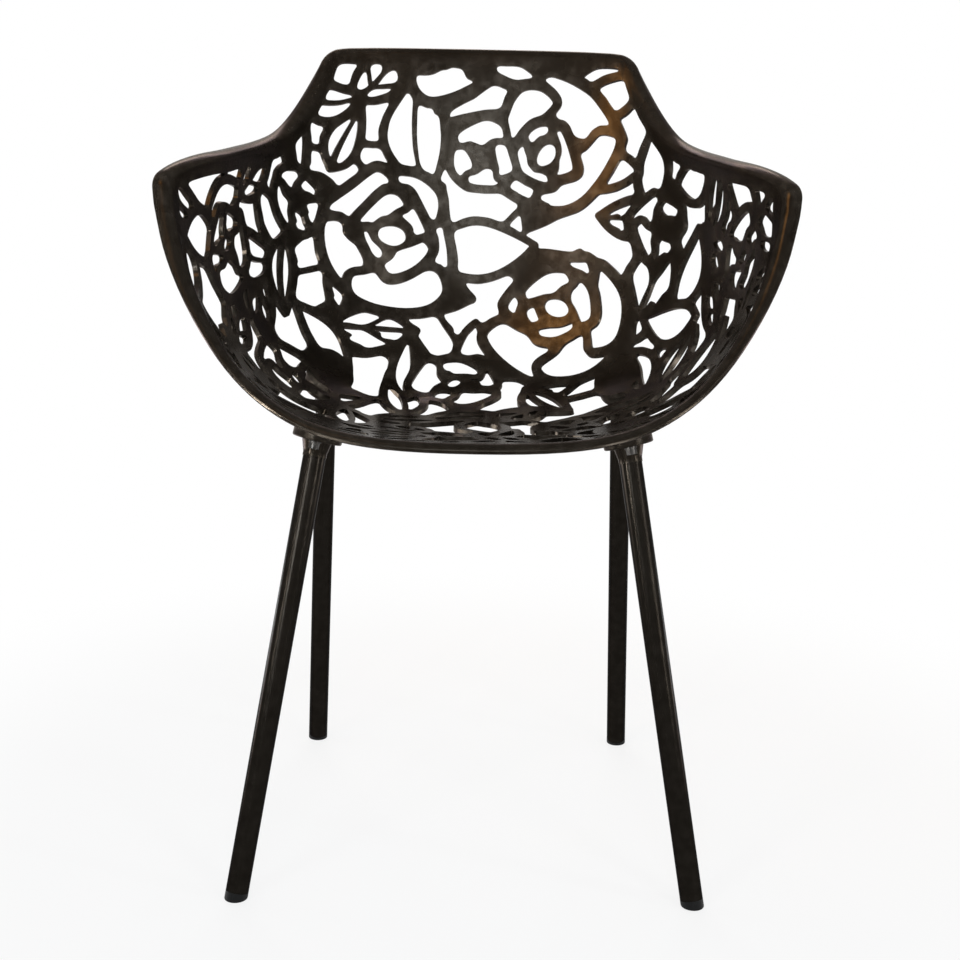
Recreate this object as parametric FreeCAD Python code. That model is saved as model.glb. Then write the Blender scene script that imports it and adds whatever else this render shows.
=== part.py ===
"""Openwork bucket garden armchair: one cast shell on four straight tube legs.

The frame is in millimetres, +Z up, with the front of the chair towards -Y and +X to the right of
someone who looks at its front. The origin is on the floor, under the middle of the whole chair.
"""
import FreeCAD, Part
import os
import random
from collections import deque
from math import atan2, ceil, cos, floor, hypot, pi, radians, sin, sqrt

Vector = FreeCAD.Vector
FIX = Part.ShapeFix.Edge()

# Shell: overall form, measured on the face that the sitter touches
SEAT_HEIGHT = 451.0         # middle of the front edge above the floor
SEAT_DISH = 22.0            # how far the seat sinks below its front edge
BACK_HEIGHT = 807.5         # top edge of the back above the floor
ARM_HEIGHT = 672.0          # arm tips above the floor
SHELL_DEPTH = 470.0         # front edge to top edge of the back, fore and aft
SHELL_FRONT = -230.0        # front edge, fore of the point from which the legs are set out
SHELL_HALF_WIDTH = 286.0    # middle of the chair to an arm tip
SHELL_WALL = 5.0            # thickness of the casting
TIP_RADIUS = 6.0            # corner of the sheet at each arm tip
TOP_RADIUS = 10.0           # corner of the sheet at each end of the back's top edge

# Rim that curls outwards round the whole shell, thinner where it runs low along the seat
CURL_RADIUS = 4.0           # inside radius of the curl on the arms and the back
LIP_LENGTH = 5.0            # flat part after the curl there
SEAT_CURL_RADIUS = 1.5      # the same two along the front of the seat
SEAT_LIP_LENGTH = 0.5
THIN_RIM_HEIGHT = 470.0     # height of the sheet's edge up to which the rim is the seat's
FULL_RIM_HEIGHT = 620.0     # height from which it is that of the arms and the back

# Openwork
MARGIN = 10.0               # plain band inside the curled rim
RIM_INSET = 0.005           # share of the sheet's net left outside the rim's start
PAD_EDGE = 3.0              # how far the solid pad reaches round a boss
FLOWER_RIB = 11.0           # rib width in the large flowers
SMALL_RIB = 8.4             # rib width in the small flowers
LEAF_RIB = 7.6              # rib width round a leaf
STEM_RIB = 7.0              # rib width of the stems between the leaves
FILLET_REACH = 4.5          # how far two ribs blend where they meet
LEAF_GAP = 54.0             # distance between neighbouring leaves on the seat and arms
BACK_LEAF_GAP = 80.0        # the same on the back
NECK = 1.3                  # half width below which a gap is closed by a bridge
BRIDGE = 2.2                # half width of such a bridge
LEAST_HOLE = 130.0          # area in square millimetres below which a gap is left solid
LEAST_REACH = 2.6           # radius of the circle that every gap has room for
PETAL_REACH = (0.82, 1.12)  # shares of the flower's radius that its petals reach to
PETAL_SPREAD = (0.5, 0.8)   # shares of the even angle that a petal spreads over on each side
PETAL_NOTCH = (0.0, 0.14)   # share of its reach by which a petal's tip is drawn in
PETAL_LEAN = (-0.35, 0.35)  # sideways lean of that tip, in shares of the spread
LAYER_SIZE = 0.52           # inner layer of petals, as a share of the one outside it
LAYER_SHIFT = 0.16          # how far off the middle it may lie, in shares of the radius
LEAF_LENGTH = (1.45, 1.8)   # shares of the distance between leaves
LEAF_WIDTH = (0.46, 0.56)   # shares of the leaf's length

# Legs
LEG_DIAMETER = 22.0
LEG_WALL = 1.8
FRONT_FOOT = (218.2, -206.7)    # middle of the front right foot on the floor
REAR_FOOT = (180.2, 213.5)
FRONT_TOP = (146.5, -109.0)     # where the front right leg's axis meets the shell
REAR_TOP = (158.0, 88.0)

# Leg brackets and the bosses that they seat on
FLANGE_LENGTH = 64.0        # fore and aft
FLANGE_WIDTH = 48.0
FLANGE_THICKNESS = 6.0
BOSS_HEIGHT = 9.0           # boss face below the shell's outer face, on the leg's axis
NECK_TOP_DIAMETER = 29.0    # cone under the flange, at the flange
NECK_DIAMETER = 23.0        # collar that the tube butts against
CONE_HEIGHT = 12.0
COLLAR_HEIGHT = 4.0
SPIGOT_LENGTH = 42.0
SPIGOT_CHAMFER = 1.5
FLANGE_EDGE = 1.5           # rounding of the flange's lower edge
SLIDE_CLEARANCE = 0.1       # gap all round between a spigot or stem and the tube's bore
CUTTER = 200.0              # side of the blocks that trim a stalk or a foot

# Screws
SCREW_DIAMETER = 6.0
SCREW_PITCH_RADIUS = 24.0   # screw axis to leg axis
SCREW_HEAD_DIAMETER = 10.0
SCREW_HEAD_HEIGHT = 6.0
SCREW_KEY = 5.0             # across flats of the hexagon socket
SCREW_KEY_DEPTH = 3.0
SCREW_HEAD_EDGE = 0.6       # bevel of the head's edge
SCREW_END = 0.5             # bevel of every screw's end
THREAD_DEPTH = 8.5          # threaded hole in the boss
THREAD_CLEARANCE = 0.05     # gap all round between a screw and its threaded hole
SCREW_PLAY = 0.3            # gap all round between a screw and a plain hole
WASHER_DIAMETER = 12.0
WASHER_THICKNESS = 1.6
WASHER_PLAY = 0.2           # gap all round between a washer and its screw
WASHER_SEAT = 20.0          # length of the cutter that clears a flat seat for a washer
LOCK_DIAMETER = 5.0
LOCK_HEAD_DIAMETER = 9.5
LOCK_HEAD_HEIGHT = 2.6
LOCK_KEY = 3.0
LOCK_KEY_DEPTH = 1.6
LOCK_HEAD_EDGE = 1.4
LOCK_LENGTH = 9.0           # under its head
LOCK_DROP = 20.0            # below the tube's top end
LOCK_REACH = 9.0            # depth of the lock screw's threaded hole in the spigot

# Foot glides
GLIDE_HEIGHT = 7.0          # floor to the tube's end, on the leg's axis
GLIDE_STEM = 20.0
GLIDE_EDGE = 1.5            # rounding of the edge that meets the floor
GLIDE_BORE = 9.0            # hollow in the stem
GLIDE_RIB = 1.0             # height of the stem's ribs
GLIDE_RIBS = 3

# Shell form. Each station runs from the middle of the chair out to the rim. Its shares are: middle,
# backwards share of the depth, of the dish and of the rise to the back's top; rim, share of the half
# width, of the depth and of the rise from the arm tips to the back's top.
STATIONS = [
    ((0.000, 0.00, 0.000), (1.000, 0.272, 0.000)),
    ((0.096, 0.27, 0.000), (0.982, 0.298, 0.030)),
    ((0.255, 0.69, 0.000), (0.957, 0.334, 0.057)),
    ((0.426, 1.00, 0.000), (0.925, 0.383, 0.083)),
    ((0.585, 1.00, 0.000), (0.890, 0.438, 0.102)),
    ((0.719, 0.50, 0.000), (0.858, 0.502, 0.117)),
    ((0.819, 0.00, 0.055), (0.826, 0.579, 0.140)),
    ((0.881, 0.00, 0.198), (0.790, 0.660, 0.167)),
    ((0.917, 0.00, 0.373), (0.749, 0.740, 0.216)),
    ((0.945, 0.00, 0.563), (0.701, 0.821, 0.318)),
    ((0.970, 0.00, 0.767), (0.634, 0.906, 0.576)),
    ((1.000, 0.00, 1.000), (0.576, 0.991, 0.985)),
]
# Control points between the middle and the rim, at a few stations: share of the rim's x, and shares
# of the way from the middle to the rim backwards and upwards.
BULGE = {
    0: ((0.545, 0.02, 0.000), (0.700, 0.15, 0.035), (0.960, 0.80, 0.50)),
    4: ((0.490, 0.00, -0.01), (0.785, 0.10, 0.030), (1.072, 0.50, 0.40)),
    7: ((0.354, 0.02, 0.000), (0.708, 0.12, 0.120), (1.016, 0.60, 0.55)),
    9: ((0.330, 0.00, 0.000), (0.660, 0.08, 0.150), (0.930, 0.50, 0.62)),
    11: ((0.300, 0.00, 0.000), (0.600, 0.00, 0.000), (0.850, 0.00, 0.00)),
}

# Flowers of the openwork: place across and along the sheet, radius, petals, layers and turn
FLOWERS = [
    (-0.36, 0.73, 98.0, 5, 2, 10),
    (0.40, 0.88, 84.0, 4, 2, 50),
    (-0.24, 1.00, 60.0, 4, 1, 95),
    (0.27, 0.61, 88.0, 5, 2, 140),
    (0.03, 0.87, 44.0, 4, 1, 190),
    (-0.05, 0.49, 50.0, 5, 1, 235),
    (-0.80, 0.40, 50.0, 5, 1, 280),
    (0.82, 0.30, 48.0, 5, 1, 330),
    (-0.20, 0.14, 52.0, 5, 1, 15),
    (0.25, 0.28, 48.0, 5, 1, 65),
    (-0.44, 0.36, 52.0, 5, 1, 110),
    (0.55, 0.12, 42.0, 5, 1, 155),
    (-0.62, 0.12, 40.0, 5, 1, 205),
    (0.72, 0.66, 44.0, 5, 1, 250),
    (-0.76, 0.70, 40.0, 5, 1, 300),
    (0.05, 0.04, 34.0, 5, 1, 345),
]
LARGE_FLOWER = 55.0         # radius from which a flower has the wide ribs
LEAF_SEED = 23
LEAF_TRIES = 2600

# Fineness of the sheet's net and of the openwork's drawing
NET_ALONG = 44
NET_ACROSS = 24
NET_STEP = 4                # the shell's surfaces run through every fourth point of the net
CELLS_ACROSS = 560
CELLS_ALONG = 440
FIELD_DEPTH = 4.0           # distance to the ribs is kept up to this
LOOP_SPAN = 14.0            # longest step between the points of a gap's outline
LOOP_TURN = 0.6             # largest turn between them, in radians
RIM_STEP = 16.0             # step between the sections of the rim
SEWING = 0.01               # tolerance when the shell's faces are sewn

LAST = len(STATIONS) - 1


def spline(places, values):
    """Natural cubic curve through the values; it is a function of place."""
    count = len(places)
    gap = [places[i + 1] - places[i] for i in range(count - 1)]
    slope = [(values[i + 1] - values[i]) / gap[i] for i in range(count - 1)]
    pivot = [1.0] * count
    bend = [0.0] * count
    for i in range(1, count - 1):
        lower = gap[i - 1] if i > 1 else 0.0
        ratio = lower / pivot[i - 1]
        pivot[i] = 2 * (gap[i - 1] + gap[i]) - ratio * (gap[i - 1] if i > 1 else 0.0)
        bend[i] = 6 * (slope[i] - slope[i - 1]) - ratio * bend[i - 1]
    for i in range(count - 2, 0, -1):
        ahead = gap[i] * bend[i + 1] if i < count - 2 else 0.0
        bend[i] = (bend[i] - ahead) / pivot[i]

    def at(place):
        i = 0
        while i < count - 2 and place > places[i + 1]:
            i += 1
        t = place - places[i]
        first = slope[i] - gap[i] * (2 * bend[i] + bend[i + 1]) / 6
        return values[i] + t * first + t * t * bend[i] / 2 + t ** 3 * (bend[i + 1] - bend[i]) / (6 * gap[i])
    return at


def station_lines():
    """The middle line, the rim and the three control lines between them, as functions of station."""
    rise = BACK_HEIGHT - SEAT_HEIGHT
    middle = [(0.0, m[0] * SHELL_DEPTH, SEAT_HEIGHT - m[1] * SEAT_DISH + m[2] * rise)
              for m, _ in STATIONS]
    rim = [(r[0] * SHELL_HALF_WIDTH, r[1] * SHELL_DEPTH, ARM_HEIGHT + r[2] * (BACK_HEIGHT - ARM_HEIGHT))
           for _, r in STATIONS]
    places = list(range(LAST + 1))
    keys = sorted(BULGE)
    ends = [[spline(places, [p[c] + (SHELL_FRONT if c == 1 else 0.0) for p in line]) for c in range(3)]
            for line in (middle, rim)]
    shares = [[spline(keys, [BULGE[k][n][c] for k in keys]) for c in range(3)] for n in range(3)]
    return ends, shares


def section_points(station, ends, shares, count):
    """Points evenly spaced along one section, from the middle of the chair to the rim."""
    inner, outer = [[f(station) for f in line] for line in ends]
    control = [inner]
    for share in shares:
        s = [f(station) for f in share]
        control.append([s[0] * outer[0]] + [inner[c] + s[c] * (outer[c] - inner[c]) for c in (1, 2)])
    control.append(outer)
    fine = 80
    curve = []
    for i in range(fine + 1):
        t = i / fine
        weights = ((1 - t) ** 4, 4 * t * (1 - t) ** 3, 6 * (t * (1 - t)) ** 2, 4 * t ** 3 * (1 - t), t ** 4)
        curve.append(Vector(*[sum(w * p[c] for w, p in zip(weights, control)) for c in range(3)]))
    run = [0.0]
    for a, b in zip(curve, curve[1:]):
        run.append(run[-1] + a.distanceToPoint(b))
    points = []
    i = 0
    for n in range(count + 1):
        want = run[-1] * n / count
        while i < fine - 1 and run[i + 1] < want:
            i += 1
        part = (want - run[i]) / (run[i + 1] - run[i])
        points.append(curve[i] * (1 - part) + curve[i + 1] * part)
    return points


class Sheet:
    """The shell's inner face as a net of points over u, -1 to 1 across, and v, 0 to 1 front to top."""

    def __init__(self):
        ends, shares = station_lines()
        self.net = []
        for j in range(NET_ALONG + 1):
            half = section_points(LAST * j / NET_ALONG, ends, shares, NET_ACROSS)
            left = [Vector(-p.x, p.y, p.z) for p in reversed(half[1:])]
            self.net.append(left + half)
        self.stretch = [[self._stretch(i, j) for i in range(2 * NET_ACROSS + 1)]
                        for j in range(NET_ALONG + 1)]

    def _tangents(self, i, j):
        """Change of place per unit of u and of v at one point of the net."""
        i0, i1 = max(i - 1, 0), min(i + 1, 2 * NET_ACROSS)
        j0, j1 = max(j - 1, 0), min(j + 1, NET_ALONG)
        across = (self.net[j][i1] - self.net[j][i0]) * (NET_ACROSS / (i1 - i0))
        along = (self.net[j1][i] - self.net[j0][i]) * (NET_ALONG / (j1 - j0))
        return across, along

    def _stretch(self, i, j):
        """Millimetres across per u, shear across per v and millimetres along per v."""
        across, along = self._tangents(i, j)
        length = across.Length
        shear = across.dot(along) / length
        return length, shear, sqrt(max(along.dot(along) - shear * shear, 1.0))

    def normal(self, i, j):
        """Unit vector out of the back of the sheet, away from the sitter."""
        across, along = self._tangents(i, j)
        return along.cross(across).normalize()

    def scale(self, u, v):
        """Stretch at the net's point nearest to u, v."""
        i = int(min(max((u + 1) * NET_ACROSS, 0), 2 * NET_ACROSS) + 0.5)
        j = int(min(max(v * NET_ALONG, 0), NET_ALONG) + 0.5)
        return self.stretch[j][i]

    def point(self, u, v):
        """Place in space of u, v, straight between the net's points."""
        x = (u + 1) * NET_ACROSS
        y = v * NET_ALONG
        i = min(max(int(x), 0), 2 * NET_ACROSS - 1)
        j = min(max(int(y), 0), NET_ALONG - 1)
        a, b = x - i, y - j
        low = self.net[j][i] * (1 - a) + self.net[j][i + 1] * a
        high = self.net[j + 1][i] * (1 - a) + self.net[j + 1][i + 1] * a
        return low * (1 - b) + high * b

    def local(self, spot, turn, points):
        """Millimetre points about a spot, turned by turn degrees, as u, v."""
        length, shear, height = self.scale(*spot)
        c, s = cos(radians(turn)), sin(radians(turn))
        out = []
        for x, y in points:
            dv = (s * x + c * y) / height
            out.append((spot[0] + (c * x - s * y - shear * dv) / length, spot[1] + dv))
        return out


class Openwork:
    """Drawing of the ribs on the sheet: a field of distance to the nearest rib, on a fine grid."""

    def __init__(self, sheet):
        self.sheet = sheet
        self.field = [[FIELD_DEPTH] * CELLS_ACROSS for _ in range(CELLS_ALONG)]

    def u_of(self, i):
        """Middle of column i."""
        return -1 + 2 * (i + 0.5) / CELLS_ACROSS

    def v_of(self, j):
        """Middle of row j."""
        return (j + 0.5) / CELLS_ALONG

    def ribs(self, lines):
        """Lay ribs through (u, v) points, each line with its half widths, and blend them in."""
        reached = {}
        for points, halves in lines:
            for p, q, w0, w1 in zip(points, points[1:], halves, halves[1:]):
                self._segment(reached, p, q, w0, w1)
        for key, distance in reached.items():
            row = self.field[key // CELLS_ACROSS]
            i = key % CELLS_ACROSS
            old = row[i]
            low = min(old, distance)
            overlap = FILLET_REACH - abs(old - distance)
            if overlap > 0 and old < FIELD_DEPTH:
                low -= overlap * overlap / (4 * FILLET_REACH)
            row[i] = low

    def _segment(self, reached, p, q, w0, w1):
        """Note the distance of each cell near one straight piece of a rib."""
        um, vm = (p[0] + q[0]) / 2, (p[1] + q[1]) / 2
        length, shear, height = self.sheet.scale(um, vm)
        ax = length * (p[0] - um) + shear * (p[1] - vm)
        ay = height * (p[1] - vm)
        bx = length * (q[0] - um) + shear * (q[1] - vm)
        by = height * (q[1] - vm)
        dx, dy = bx - ax, by - ay
        square = dx * dx + dy * dy or 1e-9
        reach = max(w0, w1) + FIELD_DEPTH
        j0 = max(int((vm + (min(ay, by) - reach) / height) * CELLS_ALONG - 0.5), 0)
        j1 = min(int((vm + (max(ay, by) + reach) / height) * CELLS_ALONG + 0.5), CELLS_ALONG - 1)
        step = length * 2 / CELLS_ACROSS
        for j in range(j0, j1 + 1):
            dv = self.v_of(j) - vm
            offset = shear * dv
            ey = height * dv - ay
            left = (min(ax, bx) - reach - offset) / length + um
            right = (max(ax, bx) + reach - offset) / length + um
            i0 = max(int((left + 1) * CELLS_ACROSS / 2 - 0.5), 0)
            i1 = min(int((right + 1) * CELLS_ACROSS / 2 + 0.5), CELLS_ACROSS - 1)
            ex = length * (self.u_of(i0) - um) + offset - ax
            for key in range(j * CELLS_ACROSS + i0, j * CELLS_ACROSS + i1 + 1):
                t = (ex * dx + ey * dy) / square
                t = 0.0 if t < 0 else 1.0 if t > 1 else t
                gx, gy = ex - t * dx, ey - t * dy
                distance = sqrt(gx * gx + gy * gy) - w0 - (w1 - w0) * t
                if distance < reached.get(key, FIELD_DEPTH):
                    reached[key] = distance
                ex += step

    def clear(self, loop):
        """Open up every cell inside a closed loop of (u, v) points."""
        low = max(int(min(p[1] for p in loop) * CELLS_ALONG - 0.5), 0)
        high = min(int(max(p[1] for p in loop) * CELLS_ALONG + 0.5), CELLS_ALONG - 1)
        for j in range(low, high + 1):
            v = self.v_of(j)
            cuts = sorted(a[0] + (b[0] - a[0]) * (v - a[1]) / (b[1] - a[1])
                          for a, b in zip(loop, loop[1:] + loop[:1]) if (a[1] > v) != (b[1] > v))
            for left, right in zip(cuts[::2], cuts[1::2]):
                i0 = max(ceil((left + 1) * CELLS_ACROSS / 2 - 0.5), 0)
                i1 = min(floor((right + 1) * CELLS_ACROSS / 2 - 0.5), CELLS_ACROSS - 1)
                if i1 >= i0:
                    self.field[j][i0:i1 + 1] = [FIELD_DEPTH] * (i1 - i0 + 1)

    def outlined(self, loop, halves):
        """Clear a loop and lay a rib round it."""
        self.clear(loop)
        self.ribs([(loop + loop[:1], halves + halves[:1])])

    def flower(self, u, v, radius, petals, layers, turn, rnd):
        """Overlapping petals in one or more layers round a small eye."""
        half = (FLOWER_RIB if radius >= LARGE_FLOWER else SMALL_RIB) / 2
        spot = (u, v)
        size = radius
        for layer in range(layers):
            count = max(petals - layer, 3)
            start = turn + layer * 180 / count
            for n in range(count):
                angle = start + 360 * n / count + rnd.uniform(-12, 12)
                reach = size * rnd.uniform(*PETAL_REACH)
                spread = 360 / count * rnd.uniform(*PETAL_SPREAD)
                corners, widths = petal(reach, spread, rnd.uniform(*PETAL_NOTCH), rnd.uniform(*PETAL_LEAN))
                self.outlined(self.sheet.local(spot, angle, corners), [half * w for w in widths])
            if layer < layers - 1:
                off = size * LAYER_SHIFT
                spot = self.sheet.local(spot, 0, [(rnd.uniform(-off, off), rnd.uniform(-off, off))])[0]
                size *= LAYER_SIZE
        eye = size * (0.26 if layers == 1 else 0.42)
        turns = [pi / 6 * k for k in range(12)]
        oval = [(eye * cos(t), 0.75 * eye * sin(t)) for t in turns]
        self.outlined(self.sheet.local(spot, turn, oval), [half * (0.8 + 0.3 * sin(t)) for t in turns])

    def leaf(self, u, v, turn, length, width, bend, veins):
        """Almond outline with a midrib; veins is the number of side veins, or -1 for no midrib."""
        def middle(t):
            return length * (t - 0.5), bend * length * 4 * t * (1 - t)

        def edge(t, side):
            x, y = middle(t)
            return x, y + side * width / 2 * max(sin(pi * t ** 0.85), 0.0) ** 0.9

        steps = 9
        outline = [edge(i / steps, 1) for i in range(steps)]
        outline += [edge(i / steps, -1) for i in range(steps, 0, -1)]
        swell = [LEAF_RIB * (0.5 + 0.16 * sin(pi * min(n, 2 * steps - n) / steps)) for n in range(2 * steps)]
        self.outlined(self.sheet.local((u, v), turn, outline), swell)
        lines = []
        if veins >= 0:
            rib = [middle(i / 8) for i in range(9)]
            lines.append((rib, [LEAF_RIB * (0.47 - 0.028 * i) for i in range(9)]))
        for k in range(max(veins, 0)):
            t = 0.8 * (k + 1) / (veins + 1)
            for side in (1, -1):
                lines.append(([middle(t), edge(min(t + 0.26, 1.0), side)], [LEAF_RIB * 0.31] * 2))
        self.ribs([(self.sheet.local((u, v), turn, points), halves) for points, halves in lines])


def petal(reach, spread, notch, lean):
    """Closed outline of a petal that points along +x from the flower's middle, and its rib's swelling."""
    wide = radians(spread)
    polar = [(0.20, 0.0), (0.42, 0.66), (0.70, 1.0), (0.93, 0.70), (1.0 - notch, lean), (0.93, -0.66),
             (0.70, -1.0), (0.42, -0.66)]
    corners = [(reach * r * cos(wide * a), reach * r * sin(wide * a)) for r, a in polar]
    loop = rounded_loop(corners, 4)
    return loop, [0.72 + 0.42 * (hypot(*p) / reach) ** 2 for p in loop]


def rounded_loop(corners, steps):
    """Smooth closed curve through the corners, with so many points for each."""
    count = len(corners)
    loop = []
    for n in range(count):
        a, b, c, d = corners[n - 1], corners[n], corners[(n + 1) % count], corners[(n + 2) % count]
        for k in range(steps):
            t = k / steps
            loop.append(tuple(0.5 * (2 * b[m] + (c[m] - a[m]) * t
                                     + (2 * a[m] - 5 * b[m] + 4 * c[m] - d[m]) * t * t
                                     + (3 * b[m] - a[m] - 3 * c[m] + d[m]) * t ** 3) for m in (0, 1)))
    return loop


def leaf_spots(sheet, rnd):
    """Spread (u, v) spots over the sheet so that no two are nearer than the leaf gap."""
    spots = []
    for _ in range(LEAF_TRIES):
        u, v = rnd.uniform(-1, 1), rnd.uniform(0, 1)
        place = sheet.point(u, v)
        gap = LEAF_GAP if v < 0.55 or abs(u) > 0.62 else BACK_LEAF_GAP
        if all(place.distanceToPoint(other) > gap for _, _, other, _ in spots):
            spots.append((u, v, place, gap))
    return spots


def stems(spots):
    """Pairs of neighbouring spots with no third spot between them."""
    pairs = []
    for a in range(len(spots)):
        for b in range(a + 1, len(spots)):
            pa, pb = spots[a][2], spots[b][2]
            span = pa.distanceToPoint(pb)
            if span > 2.2 * spots[a][3]:
                continue
            between = (max(pa.distanceToPoint(s[2]), pb.distanceToPoint(s[2])) < 0.96 * span
                       for n, s in enumerate(spots) if n not in (a, b))
            if not any(between):
                pairs.append((a, b))
    return pairs


def sheet_outline(sheet):
    """Edge of the sheet as (u, v) points, with its four corners rounded."""
    left, right, low, high = -1 + RIM_INSET, 1 - RIM_INSET, RIM_INSET, 1 - RIM_INSET
    corners = [(left, low, TIP_RADIUS), (right, low, TIP_RADIUS),
               (right, high, TOP_RADIUS), (left, high, TOP_RADIUS)]
    arcs = []
    for n, (u, v, radius) in enumerate(corners):
        length, _, height = sheet.scale(u, v)
        du, dv = radius / length, radius / height
        cu, cv = (u + du if u < 0 else u - du), (v + dv if v < 0.5 else v - dv)
        start = pi + n * pi / 2
        arcs.append([(cu + du * cos(t), cv + dv * sin(t)) for t in (start + k * pi / 16 for k in range(9))])
    outline = []
    for n, arc in enumerate(arcs):
        outline += arc
        p, q = arc[-1], arcs[(n + 1) % 4][0]
        count = max(int(sheet.point(*p).distanceToPoint(sheet.point(*q)) / RIM_STEP), 8)
        outline += [(p[0] + (q[0] - p[0]) * k / count, p[1] + (q[1] - p[1]) * k / count)
                    for k in range(1, count)]
    return outline


def draw(sheet, outline, pads):
    """The whole openwork: stems, leaves, flowers, plain band and solid pads."""
    work = Openwork(sheet)
    rnd = random.Random(LEAF_SEED)
    spots = leaf_spots(sheet, rnd)
    lines = []
    for a, b in stems(spots):
        (ua, va), (ub, vb) = spots[a][:2], spots[b][:2]
        bow = rnd.uniform(-0.14, 0.14)
        length, _, height = sheet.scale((ua + ub) / 2, (va + vb) / 2)
        mid = ((ua + ub) / 2 - bow * (vb - va) * height / length,
               (va + vb) / 2 + bow * (ub - ua) * length / height)
        curve = [tuple((1 - t) ** 2 * p + 2 * t * (1 - t) * m + t * t * q
                       for p, m, q in zip((ua, va), mid, (ub, vb)))
                 for t in (k / 6 for k in range(7))]
        lines.append((curve, [STEM_RIB / 2] * 7))
    work.ribs(lines)
    for u, v, _, gap in spots:
        length = gap * rnd.uniform(*LEAF_LENGTH)
        width = length * rnd.uniform(*LEAF_WIDTH)
        work.leaf(u, v, rnd.uniform(0, 360), length, width, rnd.uniform(-0.1, 0.1), rnd.choice((-1, 0, 0, 2)))
    for flower in FLOWERS:
        work.flower(*flower, rnd)
    closed = outline + outline[:1]
    lines = [(closed, [MARGIN] * len(closed))]
    for loop in pads:
        lines.append((loop + loop[:1], [PAD_EDGE] * (len(loop) + 1)))
        middle = (sum(p[0] for p in loop) / len(loop), sum(p[1] for p in loop) / len(loop))
        half = FLANGE_WIDTH / 2
        ends = [loop[k] for k in (0, len(loop) // 2)]
        share = 1 - FLANGE_WIDTH / FLANGE_LENGTH
        inner = [tuple(m + (e - m) * share for m, e in zip(middle, end)) for end in ends]
        lines.append((inner, [half, half]))
    work.ribs(lines)
    return work


def close_necks(work):
    """Bridge every place where a gap is too narrow to cast."""
    across, along = CELLS_ACROSS, CELLS_ALONG
    flat = [d for row in work.field for d in row]
    label = [0] * len(flat)
    queue = deque()
    count = 0
    for start in range(len(flat)):
        if label[start] or flat[start] <= NECK:
            continue
        count += 1
        label[start] = count
        stack = [start]
        while stack:
            here = stack.pop()
            queue.append(here)
            for there in neighbours(here, across, along):
                if not label[there] and flat[there] > NECK:
                    label[there] = count
                    stack.append(there)
    meeting = []
    while queue:
        here = queue.popleft()
        for there in neighbours(here, across, along):
            if flat[there] <= 0:
                continue
            if not label[there]:
                label[there] = label[here]
                queue.append(there)
            elif label[there] != label[here] and flat[there] <= NECK:
                meeting.append(there)
    spots = [(work.u_of(k % across), work.v_of(k // across)) for k in meeting]
    work.ribs([([p, p], [BRIDGE, BRIDGE]) for p in spots])


def neighbours(key, across, along):
    """Cells left, right, below and above a cell."""
    i, j = key % across, key // across
    if i > 0:
        yield key - 1
    if i < across - 1:
        yield key + 1
    if j > 0:
        yield key - across
    if j < along - 1:
        yield key + across


def gaps(work):
    """Outlines of the gaps between the ribs that are large enough to keep, as (u, v) loops."""
    across, along = CELLS_ACROSS, CELLS_ALONG
    flat = [d for row in work.field for d in row]
    label = [0] * len(flat)
    kept = set()
    count = 0
    for start in range(len(flat)):
        if label[start] or flat[start] <= 0:
            continue
        count += 1
        label[start] = count
        stack = [start]
        area = 0.0
        reach = 0.0
        while stack:
            here = stack.pop()
            length, _, height = work.sheet.scale(work.u_of(here % across), work.v_of(here // across))
            area += length * height * 2 / across / along
            reach = max(reach, flat[here])
            for there in neighbours(here, across, along):
                if not label[there] and flat[there] > 0:
                    label[there] = count
                    stack.append(there)
        if area >= LEAST_HOLE and reach >= LEAST_REACH:
            kept.add(count)
    steps = {}
    for j in range(along - 1):
        for i in range(across - 1):
            square = (j * across + i, j * across + i + 1, (j + 1) * across + i + 1, (j + 1) * across + i)
            names = {label[k] for k in square if label[k] in kept}
            for name in names:
                inside = [label[k] == name for k in square]
                if all(inside):
                    continue
                for n in range(4):
                    if inside[n] and not inside[(n + 1) % 4]:
                        m = n
                        while inside[m - 1] and m > n - 4:
                            m -= 1
                        leave = (square[n], square[(n + 1) % 4])
                        enter = (square[m % 4], square[m - 1])
                        steps.setdefault(name, {})[leave] = enter
    loops = []
    for name in sorted(steps):
        ahead = steps[name]
        found = []
        while ahead:
            first = next(iter(ahead))
            loop, here = [], first
            while here in ahead:
                loop.append(here)
                here = ahead.pop(here)
            found.append(loop)
        loops.append(crossings(work, flat, max(found, key=len)))
    return loops


def crossings(work, flat, loop):
    """Where each cell-to-cell step crosses the rib's edge."""
    points = []
    for inner, outer in loop:
        a, b = flat[inner], min(flat[outer], -1e-6)
        t = a / (a - b)
        ui, vi = work.u_of(inner % CELLS_ACROSS), work.v_of(inner // CELLS_ACROSS)
        uo, vo = work.u_of(outer % CELLS_ACROSS), work.v_of(outer // CELLS_ACROSS)
        points.append((ui + (uo - ui) * t, vi + (vo - vi) * t))
    return points


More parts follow.
